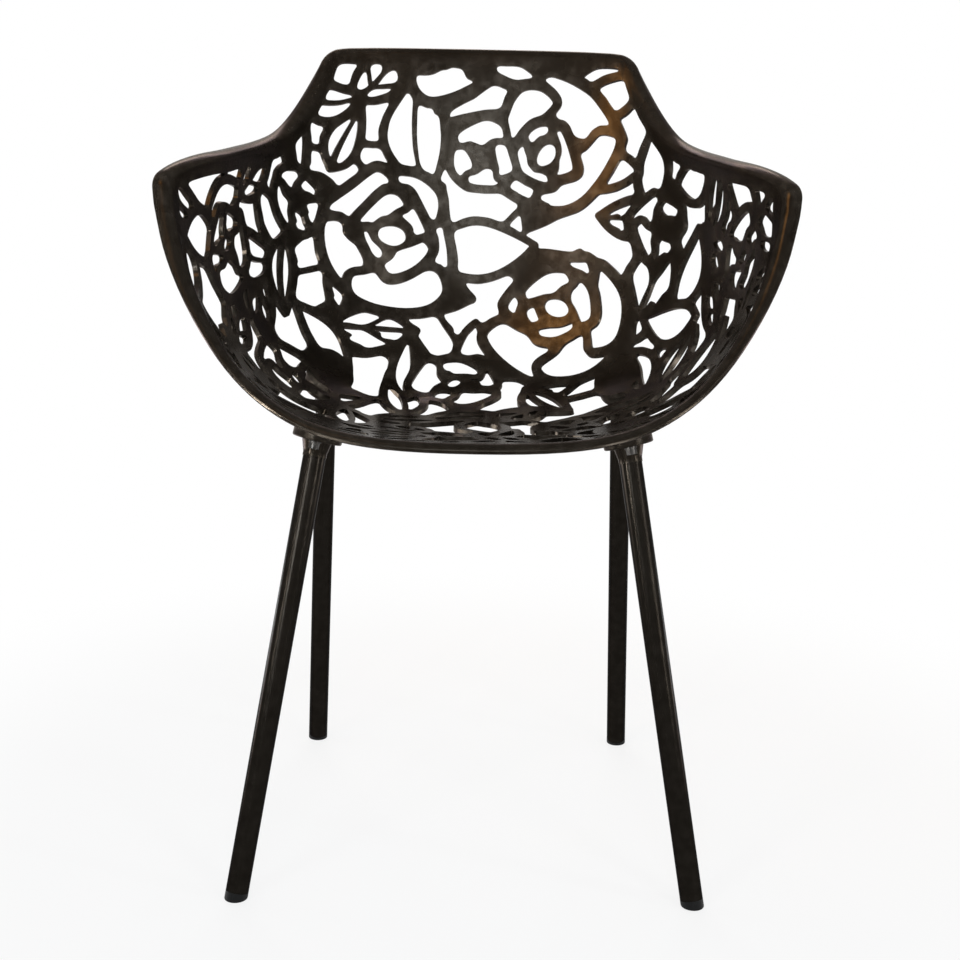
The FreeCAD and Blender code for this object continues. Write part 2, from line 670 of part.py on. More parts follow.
def fair_loop(sheet, loop):
    """A few well placed points of a dense loop: closer together where it turns."""
    for _ in range(2):
        loop = [tuple((a[c] + 2 * b[c] + d[c]) / 4 for c in (0, 1))
                for a, b, d in zip(loop[-1:] + loop[:-1], loop, loop[1:] + loop[:1])]
    mid = loop[0]
    length, shear, height = sheet.scale(*mid)
    flat = [(length * (p[0] - mid[0]) + shear * (p[1] - mid[1]), height * (p[1] - mid[1])) for p in loop]
    count = len(loop)
    heading = [atan2(flat[(n + 2) % count][1] - flat[n - 2][1], flat[(n + 2) % count][0] - flat[n - 2][0])
               for n in range(count)]
    cost = [0.0]
    for n in range(count):
        turn = abs((heading[(n + 1) % count] - heading[n] + pi) % (2 * pi) - pi)
        span = hypot(flat[(n + 1) % count][0] - flat[n][0], flat[(n + 1) % count][1] - flat[n][1])
        cost.append(cost[-1] + span / LOOP_SPAN + turn / LOOP_TURN)
    wanted = max(int(cost[-1] + 0.5), 9)
    picked = []
    n = 0
    for k in range(wanted):
        want = cost[-1] * k / wanted
        while cost[n + 1] < want:
            n += 1
        t = (want - cost[n]) / max(cost[n + 1] - cost[n], 1e-9)
        a, b = loop[n % count], loop[(n + 1) % count]
        picked.append((a[0] + (b[0] - a[0]) * t, a[1] + (b[1] - a[1]) * t))
    return picked


def interpolated(points, parameters):
    """Cubic curve through the points at the given parameters."""
    curve = Part.BSplineCurve()
    curve.interpolate(Points=points, Parameters=parameters)
    return curve


def surface_through(rows, across, along):
    """Cubic surface through rows of points, with the given parameters across and along."""
    strips = [interpolated(row, across) for row in rows]
    columns = [interpolated([strip.getPole(n + 1) for strip in strips], along)
               for n in range(strips[0].NbPoles)]
    poles = [column.getPoles() for column in columns]
    u_curve, v_curve = strips[0], columns[0]
    surface = Part.BSplineSurface()
    surface.buildFromPolesMultsKnots(poles, u_curve.getMultiplicities(), v_curve.getMultiplicities(),
                                     u_curve.getKnots(), v_curve.getKnots(), False, False, 3, 3)
    return surface


def closed_curve(points):
    """Closed cubic curve through points in space."""
    curve = Part.BSplineCurve()
    curve.interpolate(Points=points, PeriodicFlag=True)
    return curve.toShape()


class Skin:
    """The sheet's two faces as surfaces whose parameters are u and v in millimetres."""

    def __init__(self, sheet):
        self.sheet = sheet
        length, _, height = sheet.scale(0.0, 0.5)
        self.u_size, self.v_size = length, height
        columns = range(0, 2 * NET_ACROSS + 1, NET_STEP)
        rows = range(0, NET_ALONG + 1, NET_STEP)
        across = [length * (i / NET_ACROSS - 1) for i in columns]
        along = [height * j / NET_ALONG for j in rows]
        front = [[sheet.net[j][i] for i in columns] for j in rows]
        back = [[sheet.net[j][i] + sheet.normal(i, j) * SHELL_WALL for i in columns] for j in rows]
        self.inner = surface_through(front, across, along)
        self.outer = surface_through(back, across, along)

    def parameters(self, points):
        """Surface parameters of (u, v) points."""
        return [(u * self.u_size, v * self.v_size) for u, v in points]

    def inward(self, u, v):
        """Unit vector from the outer face towards the sitter at u, v."""
        spot = (u * self.u_size, v * self.v_size)
        return self.outer.getDN(*spot, 1, 0).cross(self.outer.getDN(*spot, 0, 1)).normalize()

    def meet(self, origin, direction):
        """The (u, v) at which a line meets the outer face, from the nearest point of the net on."""
        side = direction.cross(Vector(0, 0, 1) if abs(direction.z) < 0.9 else Vector(0, 1, 0)).normalize()
        other = direction.cross(side)
        net = self.sheet.net
        best = min(((net[j][i] - origin).cross(direction).Length, i, j)
                   for j in range(NET_ALONG) for i in range(2 * NET_ACROSS))
        u = (best[1] / NET_ACROSS - 1) * self.u_size
        v = best[2] / NET_ALONG * self.v_size
        for _ in range(8):
            gap = self.outer.value(u, v) - origin
            du, dv = self.outer.getDN(u, v, 1, 0), self.outer.getDN(u, v, 0, 1)
            a, b, c, d = side.dot(du), side.dot(dv), other.dot(du), other.dot(dv)
            e, f = side.dot(gap), other.dot(gap)
            det = a * d - b * c
            u -= (e * d - b * f) / det
            v -= (a * f - e * c) / det
        return u / self.u_size, v / self.v_size


def moved_to(shape, origin, x, y, z):
    """Copy of a shape made about the origin, moved to another origin and axes."""
    rotation = FreeCAD.Rotation(x, y, z)
    moved = shape.copy()
    moved.Placement = FreeCAD.Placement(origin, rotation) * shape.Placement
    return moved


class Leg:
    """Axis of one leg, with the frame that its bracket, tube, glide and screws share."""

    def __init__(self, name, side, foot, top, skin):
        self.name = name
        self.foot = Vector(side * foot[0], foot[1], 0)
        above = Vector(side * top[0], top[1], 0)
        self.spot = skin.meet(above, Vector(0, 0, 1))
        self.top = skin.outer.value(self.spot[0] * skin.u_size, self.spot[1] * skin.v_size)
        self.up = (self.top - self.foot).normalize()
        self.lift = (self.up + skin.inward(*self.spot)).normalize()
        self.aft = (Vector(0, 1, 0) - self.lift * self.lift.y).normalize()
        self.across = self.aft.cross(self.lift)
        self.seat = self.top - self.up * (BOSS_HEIGHT / self.up.dot(self.lift))
        side, end = self.across * (FLANGE_WIDTH / 2), self.aft * (FLANGE_LENGTH / 2)
        turns = [2 * pi * k / 24 for k in range(24)]
        self.footprint = [self.seat - side * sin(t) + end * cos(t) for t in turns]
        self.pad = [skin.meet(p, self.lift) for p in self.footprint]

    def place(self, shape, height):
        """Move a shape made about the origin, +Z up, +Y aft, to a height above the bracket's seat."""
        return moved_to(shape, self.seat + self.lift * height, self.across, self.aft, self.lift)

    def on_axis(self, shape, run):
        """Move a shape made about the origin, +Z up the leg, to a run above the floor along the axis."""
        aft = (Vector(0, 1, 0) - self.up * self.up.y).normalize()
        return moved_to(shape, self.foot + self.up * run, aft.cross(self.up), aft, self.up)

    def run_of_seat(self):
        """Run along the axis from the floor to the bracket's seat."""
        return (self.seat - self.foot).dot(self.up)

    def screw_centres(self):
        """Centres of the two screws on the bracket's seat."""
        return [self.seat + self.aft * (s * SCREW_PITCH_RADIUS) for s in (-1, 1)]


def rim(skin, outline):
    """The curled rim's faces, and the edges where it meets the sheet's inner and outer face."""
    spots = skin.parameters(outline)
    base = [skin.inner.value(*p) for p in spots]
    behind = [skin.outer.value(*p) for p in spots]
    count = len(spots)
    sections = []
    for n in range(count):
        out = (behind[n] - base[n]).normalize()
        away = out.cross(base[(n + 1) % count] - base[n - 1]).normalize()
        sections.append(rim_section(base[n], behind[n], out, away))
    faces, inner_edges, outer_edges = [], [], []
    half = count // 2
    for picks in (list(range(half + 1)), list(range(half, count)) + [0]):
        run = chord_lengths([base[n] for n in picks])
        rails = [interpolated([sections[n][k] for n in picks], run).toShape()
                 for k in range(len(sections[0]))]
        faces += [Part.makeRuledSurface(a, b, 1) for a, b in zip(rails, rails[1:])]
        inner_edges.append(rails[0])
        outer_edges.append(rails[-1])
    return faces, inner_edges, outer_edges


def chord_lengths(points):
    """Distance run at each point from the first."""
    run = [0.0]
    for a, b in zip(points, points[1:]):
        run.append(run[-1] + a.distanceToPoint(b))
    return run


def rim_size(height):
    """Inside radius of the curl and length of the lip where the sheet's edge is at a height."""
    share = min(max((height - THIN_RIM_HEIGHT) / (FULL_RIM_HEIGHT - THIN_RIM_HEIGHT), 0.0), 1.0)
    share *= share * (3 - 2 * share)
    return (SEAT_CURL_RADIUS + (CURL_RADIUS - SEAT_CURL_RADIUS) * share,
            SEAT_LIP_LENGTH + (LIP_LENGTH - SEAT_LIP_LENGTH) * share)


def rim_section(start, finish, out, away):
    """Points across the rim: along its front over the curl, round its tip and back behind the sheet."""
    curl_radius, lip_length = rim_size(start.z)
    outer_radius = curl_radius + SHELL_WALL
    half_wall = SHELL_WALL / 2
    centre = start + out * outer_radius
    bends = [pi / 8 * k for k in range(1, 5)]
    points = [start] + [centre + (away * sin(t) - out * cos(t)) * outer_radius for t in bends]
    tip = centre + away * (outer_radius - half_wall) + out * lip_length
    points += [tip + (away * cos(t) + out * sin(t)) * half_wall for t in (pi / 4 * k for k in range(5))]
    points += [centre + (away * sin(t) - out * cos(t)) * curl_radius for t in reversed(bends)]
    return points + [finish]


def pierced_face(surface, outline, gap_edges):
    """Face on a surface inside the outline's edges, with closed edges cut out of it."""
    blank = Part.Face(surface, Part.Wire(outline))
    for edge in outline + gap_edges:
        FIX.fixAddPCurve(edge, blank, False, 0.001)
        FIX.fixSameParameter(edge)
    face = Part.Face(surface, Part.Wire(outline))
    face.cutHoles([Part.Wire(edge) for edge in gap_edges])
    return face


def edges_on(surface, loops):
    """Closed curves through the loops' places on a surface."""
    return [closed_curve([surface.value(*p) for p in reversed(loop)]) for loop in loops]


def boss_faces(leg, edge):
    """Side, face and two threaded holes of the boss that a bracket seats on."""
    ring = closed_curve(list(reversed(leg.footprint)))
    faces = [Part.makeRuledSurface(edge, ring, 1)]
    wires = []
    for centre in leg.screw_centres():
        circle = Part.Circle(centre, leg.lift, SCREW_DIAMETER / 2 + THREAD_CLEARANCE).toShape()
        wires.append(Part.Wire(circle))
        faces.append(circle.extrude(leg.lift * THREAD_DEPTH))
        lid = circle.translated(leg.lift * THREAD_DEPTH)
        faces.append(Part.Face(Part.Wire(lid)))
    faces.append(Part.makeFace(Part.makeCompound([Part.Wire(ring)] + wires), "Part::FaceMakerBullseye"))
    return faces


def shell(skin, outline, loops, legs):
    """The casting: two pierced faces, the walls of the gaps, the curled rim and four bosses."""
    gap_spots = [skin.parameters(loop) for loop in loops]
    pad_spots = [skin.parameters(leg.pad) for leg in legs]
    faces, inner_outline, outer_outline = rim(skin, outline)
    inner_gaps = edges_on(skin.inner, gap_spots)
    outer_gaps = edges_on(skin.outer, gap_spots)
    pads = edges_on(skin.outer, pad_spots)
    faces.append(pierced_face(skin.inner, inner_outline, inner_gaps))
    faces.append(pierced_face(skin.outer, outer_outline, outer_gaps + pads))
    faces += [Part.makeRuledSurface(a, b, 1) for a, b in zip(inner_gaps, outer_gaps)]
    for leg, edge in zip(legs, pads):
        faces += boss_faces(leg, edge)
    sewn = Part.makeCompound(faces)
    sewn.sewShape(SEWING)
    solid = Part.Solid(sewn.Shells[0])
    if solid.Volume < 0:
        solid.reverse()
    return solid


def turned(profile):
    """Solid of revolution about Z through (radius, height) corners."""
    points = [Vector(r, 0, z) for r, z in profile]
    face = Part.Face(Part.makePolygon(points + points[:1]))
    return face.revolve(Vector(0, 0, 0), Vector(0, 0, 1), 360)


def hexagon(across_flats, depth):
    """Hexagonal prism from the origin downwards."""
    radius = across_flats / sqrt(3)
    corners = [Vector(radius * cos(pi / 3 * k), radius * sin(pi / 3 * k), 0) for k in range(7)]
    return Part.Face(Part.makePolygon(corners)).extrude(Vector(0, 0, -depth))


def neck_run():
    """From the bracket's seat, down the leg's axis, to where the tube begins."""
    return FLANGE_THICKNESS + CONE_HEIGHT + COLLAR_HEIGHT


def bracket(leg):
    """Cast leg bracket: oval flange, cone, collar and the spigot that the tube slides over."""
    ellipse = Part.Ellipse(Vector(0, 0, 0), FLANGE_LENGTH / 2, FLANGE_WIDTH / 2)
    plate = Part.Face(Part.Wire(ellipse.toShape())).extrude(Vector(0, 0, -FLANGE_THICKNESS))
    plate.rotate(Vector(0, 0, 0), Vector(0, 0, 1), 90)
    plate = plate.makeFillet(FLANGE_EDGE, [e for e in plate.Edges if e.BoundBox.ZMax < -FLANGE_THICKNESS / 2])
    bore = LEG_DIAMETER / 2 - LEG_WALL
    spigot = bore - SLIDE_CLEARANCE
    low = -neck_run()
    top = NECK_TOP_DIAMETER / 2
    stalk = turned([(0, top), (top, top), (top, -FLANGE_THICKNESS), (NECK_DIAMETER / 2, low + COLLAR_HEIGHT),
                    (NECK_DIAMETER / 2, low), (spigot, low), (spigot, low - SPIGOT_LENGTH + SPIGOT_CHAMFER),
                    (spigot - SPIGOT_CHAMFER, low - SPIGOT_LENGTH), (0, low - SPIGOT_LENGTH)])
    stalk = leg.on_axis(stalk, leg.run_of_seat())
    above = Part.makeBox(CUTTER, CUTTER, CUTTER, Vector(-CUTTER / 2, -CUTTER / 2, 0))
    stalk = stalk.cut(leg.place(above, 0))
    solid = leg.place(plate, 0).fuse(stalk).removeSplitter()
    low_end = Vector(0, 0, -2 * FLANGE_THICKNESS)
    plain = Part.makeCylinder(SCREW_DIAMETER / 2 + SCREW_PLAY, 3 * FLANGE_THICKNESS, low_end)
    low_end = Vector(0, 0, -FLANGE_THICKNESS - WASHER_SEAT)
    seat = Part.makeCylinder(WASHER_DIAMETER / 2 + SCREW_PLAY, WASHER_SEAT, low_end)
    for tool in (plain, seat):
        solid = solid.cut(pair(leg, tool, 0))
    inner_end = Vector(0, spigot - LOCK_REACH, 0)
    depth = LOCK_REACH + LEG_WALL
    thread = Part.makeCylinder(LOCK_DIAMETER / 2 + THREAD_CLEARANCE, depth, inner_end, Vector(0, 1, 0))
    return solid.cut(leg.on_axis(thread, leg.run_of_seat() + low - LOCK_DROP))


def tube(leg):
    """Straight tube from the glide to the bracket's collar, with the hole for its lock screw."""
    low, high = GLIDE_HEIGHT, leg.run_of_seat() - neck_run()
    outer = Part.makeCylinder(LEG_DIAMETER / 2, high - low)
    inner = Part.makeCylinder(LEG_DIAMETER / 2 - LEG_WALL, high - low)
    centre = Vector(0, 0, high - low - LOCK_DROP)
    hole = Part.makeCylinder(LOCK_DIAMETER / 2 + SCREW_PLAY, LEG_DIAMETER, centre, Vector(0, 1, 0))
    return leg.on_axis(outer.cut(inner).cut(hole), low)


def glide(leg):
    """Plastic foot: a stem with ribs that grip the tube's bore, and a head that meets the floor flat."""
    radius = LEG_DIAMETER / 2
    bore = radius - LEG_WALL - SLIDE_CLEARANCE
    reach = radius
    head = leg.on_axis(Part.makeCylinder(radius, GLIDE_HEIGHT + reach), -reach)
    corner = leg.foot - Vector(CUTTER / 2, CUTTER / 2, CUTTER)
    head = head.cut(Part.makeBox(CUTTER, CUTTER, CUTTER, corner))
    head = head.makeFillet(GLIDE_EDGE, [e for e in head.Edges if e.BoundBox.ZMax < GLIDE_EDGE / 10])
    root = bore - GLIDE_RIB
    corners = [(GLIDE_BORE / 2, 0), (root, 0)]
    pitch = GLIDE_STEM / GLIDE_RIBS
    barb = ((root, 0.4), (bore, 0.6), (bore, 0.75), (root, 0.95))
    for n in range(GLIDE_RIBS):
        corners += [(r, (n + share) * pitch) for r, share in barb]
    corners += [(root, GLIDE_STEM), (GLIDE_BORE / 2, GLIDE_STEM)]
    return head.fuse(leg.on_axis(turned(corners), GLIDE_HEIGHT)).removeSplitter()


def socket_screw(diameter, length, head_diameter, head_height, key, key_depth, edge):
    """Screw along +Z with its head below z = 0, a rounded head edge and a hexagon socket."""
    r, h = diameter / 2, head_diameter / 2
    body = turned([(0, -head_height), (h - edge, -head_height), (h, -head_height + edge), (h, 0), (r, 0),
                   (r, length - SCREW_END), (r - SCREW_END, length), (0, length)])
    socket = hexagon(key, key_depth)
    socket.translate(Vector(0, 0, -head_height + key_depth))
    return body.cut(socket)


def bracket_screws(leg):
    """The two socket screws that hold a bracket to its boss."""
    length = WASHER_THICKNESS + FLANGE_THICKNESS + THREAD_DEPTH - SCREW_DIAMETER / 6
    head = (SCREW_HEAD_DIAMETER, SCREW_HEAD_HEIGHT, SCREW_KEY, SCREW_KEY_DEPTH, SCREW_HEAD_EDGE)
    screw = socket_screw(SCREW_DIAMETER, length, *head)
    return pair(leg, screw, -FLANGE_THICKNESS - WASHER_THICKNESS)


def bracket_washers(leg):
    """The washers under those two screws."""
    hole, edge = SCREW_DIAMETER / 2 + WASHER_PLAY, WASHER_DIAMETER / 2
    washer = turned([(hole, 0), (edge, 0), (edge, WASHER_THICKNESS), (hole, WASHER_THICKNESS)])
    return pair(leg, washer, -FLANGE_THICKNESS - WASHER_THICKNESS)


def pair(leg, shape, height):
    """A shape at both screw places of a bracket."""
    both = []
    for side in (-1, 1):
        moved = shape.copy()
        moved.translate(Vector(0, side * SCREW_PITCH_RADIUS, 0))
        both.append(leg.place(moved, height))
    return Part.makeCompound(both)


def lock_screws(legs):
    """One button screw through the back of each tube into its spigot."""
    head = (LOCK_HEAD_DIAMETER, LOCK_HEAD_HEIGHT, LOCK_KEY, LOCK_KEY_DEPTH, LOCK_HEAD_EDGE)
    screw = socket_screw(LOCK_DIAMETER, LOCK_LENGTH, *head)
    screw.rotate(Vector(0, 0, 0), Vector(1, 0, 0), 90)
    screw.translate(Vector(0, LEG_DIAMETER / 2, 0))
    return Part.makeCompound([leg.on_axis(screw, leg.run_of_seat() - neck_run() - LOCK_DROP) for leg in legs])


def chair():
    """Every piece by its node's name."""
    sheet = Sheet()
    skin = Skin(sheet)
    legs = [Leg(end + "_" + side, sign, foot, top, skin)
            for end, foot, top in (("front", FRONT_FOOT, FRONT_TOP), ("rear", REAR_FOOT, REAR_TOP))
            for side, sign in (("left", -1), ("right", 1))]
    outline = sheet_outline(sheet)
    work = draw(sheet, outline, [leg.pad for leg in legs])
    close_necks(work)
    loops = [fair_loop(sheet, loop) for loop in gaps(work)]
    pieces = {"seat_shell": shell(skin, outline, loops, legs)}
    for leg in legs:
        pieces["leg_bracket_" + leg.name] = bracket(leg)
        pieces["leg_tube_" + leg.name] = tube(leg)
        pieces["foot_glide_" + leg.name] = glide(leg)
        pieces["bracket_screws_" + leg.name] = bracket_screws(leg)
        pieces["bracket_washers_" + leg.name] = bracket_washers(leg)
    pieces["leg_lock_screws"] = lock_screws(legs)
    print("gaps in the openwork", len(loops))
    return pieces


def centred(pieces):
    """Move all pieces together, fore and aft, so that the middle of the whole chair is over the origin."""
    box = FreeCAD.BoundBox()
    for point in pieces["seat_shell"].tessellate(0.1)[0]:
        box.add(point)
    shift = Vector(0, -box.Center.y, 0)
    print("shell", [round(n, 2) for n in (box.XLength, box.YLength, box.ZMin, box.ZMax)], "shift", shift.y)
    return {name: shape.translated(shift) for name, shape in pieces.items()}


os.makedirs("parts", exist_ok=True)
for node, piece in centred(chair()).items():
    piece.exportStep("parts/" + node + ".step")
    print(node, len(piece.Solids), "solids", piece.isValid(), round(piece.Volume), "mm3")
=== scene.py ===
"""Looks of an openwork cast garden armchair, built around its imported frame.

Every piece is in metres in the frame's own place: the floor is z = 0, the front of the chair is
towards -Y, and +X is to the right of someone who looks at its front.
"""
import logging
from dataclasses import dataclass
from enum import Enum
from math import cos, radians, sin

import bpy
import numpy as np
from mathutils import Matrix, Vector

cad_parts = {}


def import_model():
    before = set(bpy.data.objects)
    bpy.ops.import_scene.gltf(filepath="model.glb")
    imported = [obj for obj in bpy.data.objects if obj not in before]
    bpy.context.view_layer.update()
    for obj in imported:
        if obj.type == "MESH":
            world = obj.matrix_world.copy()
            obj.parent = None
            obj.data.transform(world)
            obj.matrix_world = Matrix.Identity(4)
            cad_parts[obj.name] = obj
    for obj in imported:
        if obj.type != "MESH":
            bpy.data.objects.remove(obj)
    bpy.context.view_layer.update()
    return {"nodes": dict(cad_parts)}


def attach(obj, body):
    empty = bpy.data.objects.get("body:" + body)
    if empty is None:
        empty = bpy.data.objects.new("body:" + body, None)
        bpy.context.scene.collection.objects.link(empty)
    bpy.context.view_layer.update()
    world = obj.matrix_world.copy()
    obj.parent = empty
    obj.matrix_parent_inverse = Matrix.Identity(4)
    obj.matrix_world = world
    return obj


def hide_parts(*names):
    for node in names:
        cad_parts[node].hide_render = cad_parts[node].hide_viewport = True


LOG = logging.getLogger("garden_armchair")
MM = 0.001

Colour = tuple[float, float, float]
Point = tuple[float, float, float]
Number = float | bpy.types.NodeSocket


class Place(Enum):
    """Where a leg stands, as its nodes are named."""

    FRONT_LEFT = "front_left"
    FRONT_RIGHT = "front_right"
    REAR_LEFT = "rear_left"
    REAR_RIGHT = "rear_right"


class Arithmetic(Enum):
    """How a maths node puts two numbers together."""

    QUOTIENT = "DIVIDE"
    PRODUCT = "MULTIPLY"
    LARGER = "MAXIMUM"


class Slope(Enum):
    """How a number goes from one end of its range to the other."""

    STRAIGHT = "LINEAR"
    EASED = "SMOOTHSTEP"


def deselect_all() -> None:
    """Leave object mode with nothing selected."""
    if bpy.context.object and bpy.context.object.mode != "OBJECT":
        bpy.ops.object.mode_set(mode="OBJECT")
    bpy.ops.object.select_all(action="DESELECT")


def make_active(piece: bpy.types.Object) -> None:
    """Select one piece alone and make it the active object.

    Args:
        piece: The object that the next operators work on.
    """
    deselect_all()
    piece.select_set(True)
    bpy.context.view_layer.objects.active = piece


def combined(tree: bpy.types.NodeTree, how: Arithmetic, first: Number,
             second: Number) -> bpy.types.NodeSocket:
    """Put two numbers of a node tree together.

    Args:
        tree: The tree that the maths node goes into.
        how: What is done with the two numbers.
        first: The first number, or the socket that gives it.
        second: The second number, or the socket that gives it.

    Returns:
        The result.
    """
    node = tree.nodes.new("ShaderNodeMath")
    node.operation = how.value
    for socket, number in zip(node.inputs, (first, second)):
        if isinstance(number, float):
            socket.default_value = number
        else:
            tree.links.new(number, socket)
    return node.outputs[0]


def stretched(tree: bpy.types.NodeTree, number: bpy.types.NodeSocket, ends: dict[str, float],
              slope: Slope = Slope.STRAIGHT) -> bpy.types.NodeSocket:
    """Bring a number from one range into another, and keep it between that range's ends.

    Args:
        tree: The tree that the node goes into.
        number: The socket that gives the number.
        ends: Ends of the two ranges by socket name. Those left out are 0 and 1.
        slope: How the number goes from end to end.

    Returns:
        The number in its new range.
    """
    node = tree.nodes.new("ShaderNodeMapRange")
    node.interpolation_type = slope.value
    for label, value in ends.items():
        node.inputs[label].default_value = value
    tree.links.new(number, node.inputs["Value"])
    return node.outputs[0]


def noise_value(tree: bpy.types.NodeTree, size_mm: bpy.types.NodeSocket,
                detail: float) -> bpy.types.NodeSocket:
    """Add a noise on object coordinates whose features have a size in millimetres.

    Args:
        tree: The group that the nodes go into.
        size_mm: The socket that gives the size of the features.
        detail: Octaves of the noise.

    Returns:
        The noise's value, from 0 to 1.
    """
    place = tree.nodes.new("ShaderNodeTexCoord").outputs["Object"]
    noise = tree.nodes.new("ShaderNodeTexNoise")
    noise.inputs["Detail"].default_value = detail
    tree.links.new(place, noise.inputs["Vector"])
    tree.links.new(combined(tree, Arithmetic.QUOTIENT, 1 / MM, size_mm), noise.inputs["Scale"])
    return noise.outputs["Fac"]


class SharedGroup:
    """A shader node group that is made once and stands in every finish that uses it."""

    name: str
    inputs: dict[str, float]
    outputs: tuple[str, ...]

    @classmethod
    def tree(cls) -> bpy.types.NodeTree:
        """Find the group, or make it the first time.

        Returns:
            The group's node tree.
        """
        found = bpy.data.node_groups.get(cls.name)
        if found:
            return found
        tree = bpy.data.node_groups.new(cls.name, "ShaderNodeTree")
        number = "NodeSocketFloat"
        for label, value in cls.inputs.items():
            socket = tree.interface.new_socket(name=label, in_out="INPUT", socket_type=number)
            socket.default_value = value
        for label in cls.outputs:
            tree.interface.new_socket(name=label, in_out="OUTPUT", socket_type=number)
        given = tree.nodes.new("NodeGroupInput")
        results = cls.wired(tree, given)
        put_out = tree.nodes.new("NodeGroupOutput")
        for label, result in zip(cls.outputs, results):
            tree.links.new(result, put_out.inputs[label])
        return tree

    @classmethod
    def wired(cls, tree: bpy.types.NodeTree, given: bpy.types.Node) -> list[bpy.types.NodeSocket]:
        """Fill the group with its own nodes.

        Args:
            tree: The group's node tree.
            given: The node that brings the group's inputs in.

        Returns:
            The sockets that the group puts out, in the order of its outputs.
        """
        raise NotImplementedError


class GrainGroup(SharedGroup):
    """Fine grain of a coat or moulded skin, the casting's slow waves under it, and patches."""

    name = "coat_grain"
    inputs = {"Grain Size": 1.0, "Wave Size": 14.0, "Patch Size": 40.0, "Wave Share": 0.5}
    outputs = ("Height", "Patches")
    grain_detail = 2.0
    wave_detail = 1.0
    patch_detail = 4.0

    @classmethod
    def wired(cls, tree: bpy.types.NodeTree, given: bpy.types.Node) -> list[bpy.types.NodeSocket]:
        """Mix the grain and the waves into one height, and add the patches.

        Args:
            tree: The group's node tree.
            given: The node that brings the group's inputs in.

        Returns:
            The height and the patches.
        """
        sizes = given.outputs
        grain = noise_value(tree, sizes["Grain Size"], cls.grain_detail)
        waves = noise_value(tree, sizes["Wave Size"], cls.wave_detail)
        patches = noise_value(tree, sizes["Patch Size"], cls.patch_detail)
        height = tree.nodes.new("ShaderNodeMix")
        tree.links.new(sizes["Wave Share"], height.inputs["Factor"])
        tree.links.new(grain, height.inputs["A"])
        tree.links.new(waves, height.inputs["B"])
        return [height.outputs["Result"], patches]


class WearAndHighlightGroup(SharedGroup):
    """Worn edges with a painted highlight along them: the mesh's stored edge measure, broken up
    by a noise, from 0 to 1.
    """

    name = "rubbed_and_highlit_edges"
    inputs = {"Amount": 0.3, "Break Size": 9.0}
    outputs = ("Mask",)
    attribute = "rubbed_and_highlit_edge"
    break_detail = 3.0
    break_ends = {"From Min": 0.35, "From Max": 0.65}

    @classmethod
    def wired(cls, tree: bpy.types.NodeTree, given: bpy.types.Node) -> list[bpy.types.NodeSocket]:
        """Multiply the edge measure by the noise and the amount.

        Args:
            tree: The group's node tree.
            given: The node that brings the group's inputs in.

        Returns:
            The mask.
        """
        edges = tree.nodes.new("ShaderNodeAttribute")
        edges.attribute_name = cls.attribute
        noise = noise_value(tree, given.outputs["Break Size"], cls.break_detail)
        broken = stretched(tree, noise, cls.break_ends)
        worn_and_highlight = combined(tree, Arithmetic.PRODUCT, edges.outputs["Fac"], broken)
        return [combined(tree, Arithmetic.PRODUCT, worn_and_highlight, given.outputs["Amount"])]


class DustGroup(SharedGroup):
    """Fine dust that settles on what faces up, broken up by slow patches, from 0 to 1."""

    name = "settled_dust"
    inputs = {"Amount": 0.2, "Patches": 0.5}
    outputs = ("Mask",)
    facing_ends = {"From Min": 0.35, "From Max": 1.0}

    @classmethod
    def wired(cls, tree: bpy.types.NodeTree, given: bpy.types.Node) -> list[bpy.types.NodeSocket]:
        """Multiply how far the surface faces up by the patches and the amount.

        Args:
            tree: The group's node tree.
            given: The node that brings the group's inputs in.

        Returns:
            The mask.
        """
        surface = tree.nodes.new("ShaderNodeNewGeometry")
        parts = tree.nodes.new("ShaderNodeSeparateXYZ")
        tree.links.new(surface.outputs["Normal"], parts.inputs[0])
        facing = stretched(tree, parts.outputs["Z"], cls.facing_ends)
        patchy = combined(tree, Arithmetic.PRODUCT, facing, given.outputs["Patches"])
        return [combined(tree, Arithmetic.PRODUCT, patchy, given.outputs["Amount"])]


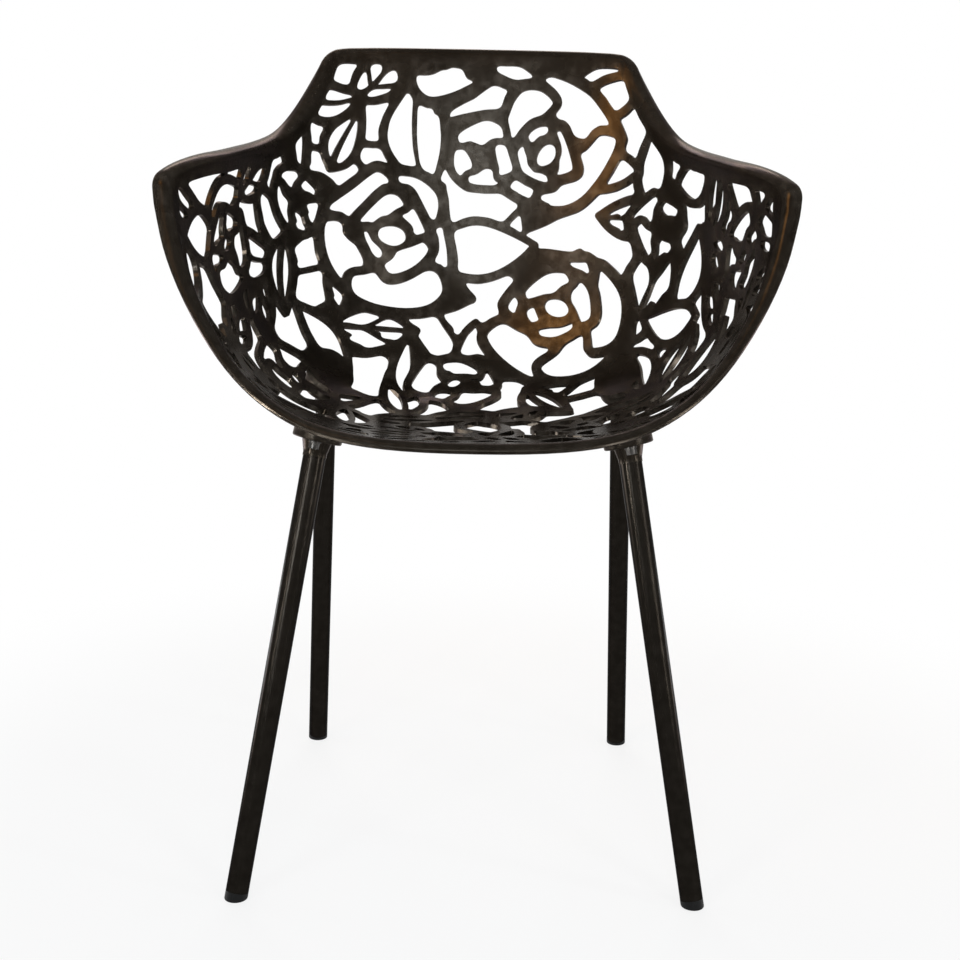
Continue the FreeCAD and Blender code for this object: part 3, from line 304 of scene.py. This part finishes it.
@dataclass(frozen=True)
class CoatedFinish:
    """A skin with grain, slow colour and roughness variation, worn edges in a lighter colour that
    is part wear and part painted highlight, and a little dust.

    Sizes are in millimetres. patch_low and patch_high are the values of the patches at which
    the skin is at its smoothest and at its roughest.
    """

    name: str
    dark: Colour
    light: Colour
    worn_and_highlight: Colour
    dust_colour: Colour
    edge_tint: Colour
    smooth: float
    rough: float
    metallic: float
    grain_mm: float
    wave_mm: float
    wave_share: float
    patch_mm: float
    relief_mm: float
    wear_and_highlight: float
    dust: float
    specular: float = 0.5
    patch_low: float = 0.3
    patch_high: float = 0.7

    def material(self) -> bpy.types.Material:
        """Find the material, or build it the first time.

        Returns:
            The finish as a node material on object coordinates.
        """
        made = bpy.data.materials.get(self.name)
        if made:
            return made
        made = bpy.data.materials.new(self.name)
        made.use_nodes = True
        tree = made.node_tree
        shader = tree.nodes["Principled BSDF"]
        shader.inputs["Metallic"].default_value = self.metallic
        shader.inputs["Specular IOR Level"].default_value = self.specular
        shader.inputs["Specular Tint"].default_value = (*self.edge_tint, 1)
        grain = self.placed(tree, GrainGroup,
                            {"Grain Size": self.grain_mm, "Wave Size": self.wave_mm,
                             "Wave Share": self.wave_share, "Patch Size": self.patch_mm})
        tree.links.new(self.painted(tree, grain["Patches"]), shader.inputs["Base Color"])
        gloss = stretched(tree, grain["Patches"],
                          {"From Min": self.patch_low, "From Max": self.patch_high,
                           "To Min": self.smooth, "To Max": self.rough})
        tree.links.new(gloss, shader.inputs["Roughness"])
        bump = tree.nodes.new("ShaderNodeBump")
        bump.inputs["Distance"].default_value = self.relief_mm * MM
        tree.links.new(grain["Height"], bump.inputs["Height"])
        tree.links.new(bump.outputs[0], shader.inputs["Normal"])
        return made

    def painted(self, tree: bpy.types.NodeTree,
                patches: bpy.types.NodeSocket) -> bpy.types.NodeSocket:
        """Lay the skin's two tones, its worn edges with their painted highlight, and its dust
        over each other.

        Args:
            tree: The material's node tree.
            patches: The socket that gives the patches.

        Returns:
            The colour of the surface.
        """
        wear_and_highlight = self.placed(tree, WearAndHighlightGroup, {"Amount": self.wear_and_highlight})
        dust = self.placed(tree, DustGroup, {"Amount": self.dust})
        tree.links.new(patches, dust["Patches"])
        shade = self.layered(tree, patches, self.dark, self.light)
        # Edge colour: wear, and in the coat also a painted highlight line along the convex rim
        # and rib edges.
        rubbed_and_highlit = self.layered(tree, wear_and_highlight["Mask"], shade, self.worn_and_highlight)
        return self.layered(tree, dust["Mask"], rubbed_and_highlit, self.dust_colour)

    @staticmethod
    def placed(tree: bpy.types.NodeTree, group: type[SharedGroup],
               values: dict[str, float]) -> dict[str, bpy.types.NodeSocket]:
        """Put a shared node group into the material with its own values.

        Args:
            tree: The material's node tree.
            group: The shared group.
            values: Input values by socket name.

        Returns:
            The group's sockets by name.
        """
        node = tree.nodes.new("ShaderNodeGroup")
        node.node_tree = group.tree()
        for label, value in values.items():
            node.inputs[label].default_value = value
        return {socket.name: socket for socket in (*node.inputs, *node.outputs)}

    @staticmethod
    def layered(tree: bpy.types.NodeTree, mask: bpy.types.NodeSocket,
                below: Colour | bpy.types.NodeSocket, above: Colour) -> bpy.types.NodeSocket:
        """Lay a colour over what is below it by a mask.

        Args:
            tree: The material's node tree.
            mask: The socket that gives the mask.
            below: The colour under it, or the socket that gives it.
            above: The colour on top.

        Returns:
            The mixed colour.
        """
        mix = tree.nodes.new("ShaderNodeMix")
        mix.data_type = "RGBA"
        mix.inputs["B"].default_value = (*above, 1)
        tree.links.new(mask, mix.inputs["Factor"])
        if isinstance(below, tuple):
            mix.inputs["A"].default_value = (*below, 1)
        else:
            tree.links.new(below, mix.inputs["A"])
        return mix.outputs["Result"]


# The coat's worn colour is raised so that the convex rim and rib edges carry a painted highlight
# line as well as wear.
POWDER_COAT = CoatedFinish(
    name="dark_powder_coat", dark=(0.0068, 0.0054, 0.0039), light=(0.0135, 0.0107, 0.0078),
    worn_and_highlight=(0.090, 0.080, 0.068), dust_colour=(0.06, 0.053, 0.044), edge_tint=(0.45, 0.41, 0.37),
    smooth=0.21, rough=0.30, metallic=0.7, grain_mm=1.3, wave_mm=16.0, wave_share=0.9,
    patch_mm=60.0, relief_mm=0.025, wear_and_highlight=0.5, dust=0.10, specular=0.12)
TUBE_COAT = CoatedFinish(
    name="dark_tube_coat", dark=(0.0070, 0.0058, 0.0044), light=(0.0112, 0.0095, 0.0076),
    worn_and_highlight=(0.036, 0.031, 0.026), dust_colour=(0.06, 0.054, 0.047), edge_tint=(0.30, 0.28, 0.27),
    smooth=0.20, rough=0.27, metallic=0.8, grain_mm=1.0, wave_mm=40.0, wave_share=0.3,
    patch_mm=70.0, relief_mm=0.03, wear_and_highlight=0.4, dust=0.06, specular=0.12)
GLIDE_PLASTIC = CoatedFinish(
    name="black_glide_plastic", dark=(0.005, 0.005, 0.005), light=(0.009, 0.009, 0.009),
    worn_and_highlight=(0.02, 0.02, 0.02), dust_colour=(0.06, 0.056, 0.052), edge_tint=(1.0, 1.0, 1.0),
    smooth=0.55, rough=0.68, metallic=0.0, grain_mm=0.5, wave_mm=4.0, wave_share=0.3,
    patch_mm=9.0, relief_mm=0.05, wear_and_highlight=0.5, dust=0.10, specular=0.12)
SCREW_STEEL = CoatedFinish(
    name="blackened_steel", dark=(0.027, 0.025, 0.023), light=(0.044, 0.041, 0.037),
    worn_and_highlight=(0.12, 0.12, 0.12), dust_colour=(0.10, 0.09, 0.08), edge_tint=(0.5, 0.5, 0.5),
    smooth=0.26, rough=0.40, metallic=1.0, grain_mm=0.35, wave_mm=3.0, wave_share=0.2,
    patch_mm=5.0, relief_mm=0.01, wear_and_highlight=0.7, dust=0.05)


@dataclass
class EdgeMeasure:
    """How far each vertex of a mesh stands proud of its neighbours.

    full_drop is the mean drop towards the neighbours, as a sine, that counts as fully proud,
    and shortest is the length in metres that an edge is taken to have at least.
    """

    full_drop: float = 0.30
    shortest: float = 1e-9

    def store(self, mesh: bpy.types.Mesh) -> None:
        """Store the measure on every vertex, from 0 to 1.

        Args:
            mesh: The finished mesh of a piece.
        """
        places = self.vectors(mesh, "co")
        normals = self.vectors(mesh, "normal")
        ends = np.empty(len(mesh.edges) * 2, dtype=np.int64)
        mesh.edges.foreach_get("vertices", ends)
        ends = ends.reshape(-1, 2)
        along = places[ends[:, 1]] - places[ends[:, 0]]
        along /= np.maximum(np.linalg.norm(along, axis=1, keepdims=True), self.shortest)
        drop = np.zeros(len(places))
        meeting = np.zeros(len(places))
        for end, sign in ((0, -1.0), (1, 1.0)):
            here = ends[:, end]
            np.add.at(drop, here, sign * np.einsum("ij,ij->i", along, normals[here]))
            np.add.at(meeting, here, 1.0)
        proud = np.clip(drop / np.maximum(meeting, 1.0) / self.full_drop, 0.0, 1.0)
        stored = mesh.attributes.new(WearAndHighlightGroup.attribute, "FLOAT", "POINT")
        stored.data.foreach_set("value", proud.astype(np.float32))

    @staticmethod
    def vectors(mesh: bpy.types.Mesh, label: str) -> np.ndarray:
        """Read one vector from every vertex.

        Args:
            mesh: The mesh.
            label: The vector's name, such as "co" or "normal".

        Returns:
            A row of three numbers for each vertex.
        """
        numbers = np.empty(len(mesh.vertices) * 3)
        mesh.vertices.foreach_get(label, numbers)
        return numbers.reshape(-1, 3)


@dataclass
class DressedNode:
    """A finished copy of a solid's mesh: merged, its sharp edges rounded, and shaded smooth."""

    node: str
    name: str
    slot: str
    finish: CoatedFinish
    edge_mm: float
    segments: int = 2
    smooth_degrees: float = 50.0
    sharp_degrees: float = 35.0
    merge_mm: float = 0.002

    def build(self, nodes: dict[str, bpy.types.Object]) -> None:
        """Copy the solid's mesh, round its edges and dress it, in the solid's place.

        Args:
            nodes: The frame's objects by node name.
        """
        deselect_all()
        piece = bpy.data.objects.new(self.name, nodes[self.node].data.copy())
        bpy.context.scene.collection.objects.link(piece)
        make_active(piece)
        bpy.ops.object.mode_set(mode="EDIT")
        bpy.ops.mesh.select_all(action="SELECT")
        bpy.ops.mesh.remove_doubles(threshold=self.merge_mm * MM)
        bpy.ops.mesh.customdata_custom_splitnormals_clear()
        bpy.ops.object.mode_set(mode="OBJECT")
        self.round_edges(piece)
        EdgeMeasure().store(piece.data)
        piece.data.materials.clear()
        piece.data.materials.append(self.finish.material())
        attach(piece, "root")
        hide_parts(self.node)
        LOG.info("%s: %d faces", self.name, len(piece.data.polygons))

    def round_edges(self, piece: bpy.types.Object) -> None:
        """Bevel what is sharper than the limit, then shade the mesh smooth.

        Args:
            piece: The merged copy.
        """
        make_active(piece)
        bevel = piece.modifiers.new("rounded_edges", "BEVEL")
        bevel.width = self.edge_mm * MM
        bevel.segments = self.segments
        bevel.limit_method = "ANGLE"
        bevel.angle_limit = radians(self.sharp_degrees)
        bevel.use_clamp_overlap = True
        bevel.face_strength_mode = "FSTR_ALL"
        bpy.ops.object.modifier_apply(modifier=bevel.name)
        bpy.ops.object.shade_smooth_by_angle(angle=radians(self.smooth_degrees))
        weighted = piece.modifiers.new("flat_faces_rule", "WEIGHTED_NORMAL")
        weighted.keep_sharp = True
        weighted.use_face_influence = True
        bpy.ops.object.modifier_apply(modifier=weighted.name)


@dataclass
class Seat:
    """The openwork casting with its curled rim and the four bosses under it."""

    rib_edge_mm: float = 0.7
    rib_segments: int = 1

    def build(self, nodes: dict[str, bpy.types.Object]) -> None:
        """Make the finished casting.

        Args:
            nodes: The frame's objects by node name.
        """
        DressedNode("seat_shell", "openwork_seat", "shell", POWDER_COAT,
                    edge_mm=self.rib_edge_mm, segments=self.rib_segments).build(nodes)


@dataclass
class Leg:
    """One leg: bracket, tube, glide and the screws and washers under the flange."""

    place: Place
    bracket_edge_mm: float = 0.6
    tube_edge_mm: float = 0.3
    glide_edge_mm: float = 0.3
    screw_edge_mm: float = 0.2
    washer_edge_mm: float = 0.15

    def build(self, nodes: dict[str, bpy.types.Object]) -> None:
        """Make every piece of this leg.

        Args:
            nodes: The frame's objects by node name.
        """
        for part, slot, finish, edge_mm in (
                ("leg_bracket", "bracket", POWDER_COAT, self.bracket_edge_mm),
                ("leg_tube", "leg", TUBE_COAT, self.tube_edge_mm),
                ("foot_glide", "glide", GLIDE_PLASTIC, self.glide_edge_mm),
                ("bracket_screws", "screw", SCREW_STEEL, self.screw_edge_mm),
                ("bracket_washers", "screw", SCREW_STEEL, self.washer_edge_mm)):
            node = f"{part}_{self.place.value}"
            DressedNode(node, "dressed_" + node, slot, finish, edge_mm).build(nodes)


@dataclass
class LockScrews:
    """The four small screws that hold the tubes on the brackets' spigots."""

    edge_mm: float = 0.2

    def build(self, nodes: dict[str, bpy.types.Object]) -> None:
        """Make the finished screws.

        Args:
            nodes: The frame's objects by node name.
        """
        DressedNode("leg_lock_screws", "dressed_leg_lock_screws", "screw", SCREW_STEEL,
                    edge_mm=self.edge_mm).build(nodes)


@dataclass(frozen=True)
class SoftLamp:
    """An area lamp that the camera doesn't see.

    place and aim say where it stands and what it faces, width and height are its size in
    metres, and spread_degrees is how far its light spreads.
    """

    name: str
    place: Point
    width: float
    height: float
    watts: float
    colour: Colour
    aim: Point = (0.0, 0.0, 0.5)
    spread_degrees: float = 180.0

    def build(self) -> None:
        """Hang the lamp and turn it to the point that it faces."""
        lamp = bpy.data.lights.new(self.name, "AREA")
        lamp.shape = "RECTANGLE"
        lamp.size = self.width
        lamp.size_y = self.height
        lamp.energy = self.watts
        lamp.color = self.colour
        lamp.spread = radians(self.spread_degrees)
        holder = bpy.data.objects.new(self.name, lamp)
        holder.visible_camera = False
        holder.location = self.place
        facing = Vector(self.aim) - Vector(self.place)
        holder.rotation_euler = facing.to_track_quat("-Z", "Y").to_euler()
        bpy.context.scene.collection.objects.link(holder)


DAYLIGHT = (0.97, 0.98, 1.0)
BLUE_SKY = (0.83, 0.92, 1.0)
PALE_SKY = (0.86, 0.93, 1.0)
FLOOR_GLOW = (0.95, 0.97, 1.0)
NEAR_WHITE = (1.0, 0.99, 0.97)
CREAM = (1.0, 0.98, 0.95)
AMBER = (1.0, 0.50, 0.12)

LAMPS = (
    SoftLamp("sheen_middle", (-0.05, -2.05, 1.27), width=0.8, height=0.30, watts=11.0,
             colour=BLUE_SKY),
    SoftLamp("sheen_right", (1.35, -2.0, 1.50), width=0.5, height=0.30, watts=9.0,
             colour=DAYLIGHT),
    SoftLamp("sheen_left", (-1.43, -1.95, 1.40), width=0.4, height=0.30, watts=8.0,
             colour=DAYLIGHT),
    SoftLamp("warm_window", (-0.46, -0.48, 1.36), width=0.78, height=0.50, watts=1.15,
             colour=AMBER, aim=(0.14, 0.20, 0.66), spread_degrees=50.0),
    SoftLamp("tube_streak", (-1.05, -2.1, 0.85), width=0.20, height=0.40, watts=0.32,
             colour=PALE_SKY, aim=(-0.17, -0.2, 0.45), spread_degrees=24.0),
    SoftLamp("right_strip", (1.95, -0.95, 0.90), width=0.20, height=0.8, watts=6.0,
             colour=DAYLIGHT),
    SoftLamp("rim_left", (-1.73, -1.48, 0.62), width=0.26, height=0.44, watts=0.75,
             colour=NEAR_WHITE, aim=(-0.22, -0.2, 0.61), spread_degrees=14.0),
    SoftLamp("rim_right", (1.79, -1.42, 0.60), width=0.22, height=0.40, watts=0.26,
             colour=NEAR_WHITE, aim=(0.22, -0.2, 0.58), spread_degrees=17.0),
    SoftLamp("lip_left", (-0.60, -0.95, 0.05), width=0.34, height=0.12, watts=0.09,
             colour=FLOOR_GLOW, aim=(-0.15, -0.23, 0.46), spread_degrees=18.0),
    SoftLamp("lip_right", (0.62, -0.95, 0.05), width=0.30, height=0.12, watts=0.05,
             colour=FLOOR_GLOW, aim=(0.15, -0.23, 0.46), spread_degrees=18.0),
    SoftLamp("low_left", (-1.4, 0.5, 0.10), width=0.9, height=0.15, watts=14.0,
             colour=DAYLIGHT),
    SoftLamp("low_right", (1.5, 0.5, 0.10), width=0.9, height=0.15, watts=8.0,
             colour=DAYLIGHT),
    SoftLamp("behind_above", (-0.2, 2.2, 2.2), width=1.8, height=0.40, watts=26.0,
             colour=CREAM),
)


@dataclass
class Studio:
    """Pale floor, soft lamps, the white surround that the coat reflects, and the camera.

    Lengths are in metres. From fade_start to fade_end, measured from the chair's middle, the
    floor goes from glow_near, its share of plain white, to full white. world_light is the
    surround's strength as a light, where 1 is what the camera sees.
    """

    camera_place: Point = (-0.0016, -1.6364, 0.7217)
    yaw_radians: float = 0.0060
    pitch_radians: float = -0.2140
    roll_radians: float = 0.0200
    image_width: int = 960
    focal_pixels: float = 1611.7
    sensor_mm: float = 36.0
    floor_half: float = 6.0
    floor_colour: Colour = (0.9, 0.9, 0.9)
    floor_roughness: float = 0.9
    fade_start: float = 0.45
    fade_end: float = 1.0
    glow_near: float = 0.80
    world_light: float = 0.35

    def build(self) -> None:
        """Set the stage, the lamps, the surround and the camera."""
        self.floor()
        for lamp in LAMPS:
            lamp.build()
        self.surround()
        self.camera()

    @staticmethod
    def seen(tree: bpy.types.NodeTree) -> bpy.types.NodeSocket:
        """Tell the rays that look for the white background from the rest.

        Args:
            tree: The floor's or the world's node tree.

        Returns:
            1 on camera, glossy and transmission rays, else 0.
        """
        rays = tree.nodes.new("ShaderNodeLightPath").outputs
        result = rays["Is Camera Ray"]
        for label in ("Is Glossy Ray", "Is Transmission Ray"):
            result = combined(tree, Arithmetic.LARGER, result, rays[label])
        return result

    def floor(self) -> None:
        """Lay a pale floor that keeps the chair's shadow and turns plain white away from it."""
        deselect_all()
        bpy.ops.mesh.primitive_plane_add(size=2 * self.floor_half, location=(0, 0, 0))
        plane = bpy.context.object
        plane.name = "floor"
        paint = bpy.data.materials.new("pale_floor")
        paint.use_nodes = True
        tree = paint.node_tree
        nodes, links = tree.nodes, tree.links
        shader = nodes["Principled BSDF"]
        shader.inputs["Base Color"].default_value = (*self.floor_colour, 1)
        shader.inputs["Roughness"].default_value = self.floor_roughness
        shader.inputs["Specular IOR Level"].default_value = 0.0
        white = nodes.new("ShaderNodeEmission")
        reach = nodes.new("ShaderNodeVectorMath")
        reach.operation = "LENGTH"
        links.new(nodes.new("ShaderNodeTexCoord").outputs["Object"], reach.inputs[0])
        fade = stretched(tree, reach.outputs["Value"],
                         {"From Min": self.fade_start, "From Max": self.fade_end,
                          "To Min": self.glow_near}, Slope.EASED)
        mix = nodes.new("ShaderNodeMixShader")
        links.new(combined(tree, Arithmetic.PRODUCT, fade, self.seen(tree)), mix.inputs["Fac"])
        links.new(shader.outputs[0], mix.inputs[1])
        links.new(white.outputs[0], mix.inputs[2])
        links.new(mix.outputs[0], nodes["Material Output"].inputs["Surface"])
        plane.data.materials.append(paint)

    def surround(self) -> None:
        """Set a white surround for the camera and for reflections, dimmer as a light."""
        world = bpy.data.worlds.new("studio_surround")
        bpy.context.scene.world = world
        world.use_nodes = True
        tree = world.node_tree
        light = tree.nodes["Background"].inputs
        strength = stretched(tree, self.seen(tree), {"To Min": self.world_light})
        tree.links.new(strength, light["Strength"])
        light["Color"].default_value = (1, 1, 1, 1)

    def camera(self) -> None:
        """Put the camera at the photograph's place, turned and rolled as it was."""
        level_share = cos(self.pitch_radians)
        forward = Vector((sin(self.yaw_radians) * level_share,
                          cos(self.yaw_radians) * level_share, sin(self.pitch_radians)))
        level = forward.cross(Vector((0, 0, 1))).normalized()
        upright = level.cross(forward)
        right = level * cos(self.roll_radians) + upright * sin(self.roll_radians)
        up = right.cross(forward)
        lens = bpy.data.cameras.new("photo_view")
        lens.sensor_width = self.sensor_mm
        lens.lens = self.sensor_mm * self.focal_pixels / self.image_width
        holder = bpy.data.objects.new("photo_view", lens)
        turn = Matrix((right, up, -forward)).transposed().to_4x4()
        holder.matrix_world = Matrix.Translation(self.camera_place) @ turn
        bpy.context.scene.collection.objects.link(holder)
        bpy.context.scene.camera = holder


def main() -> None:
    """Build the chair piece by piece around the frame."""
    logging.basicConfig(level=logging.INFO, format="%(name)s %(message)s")
    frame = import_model()
    bpy.context.scene.view_settings.view_transform = "Standard"
    Studio().build()
    Seat().build(frame["nodes"])
    for place in Place:
        Leg(place).build(frame["nodes"])
    LockScrews().build(frame["nodes"])


if __name__ == "__main__":
    main()
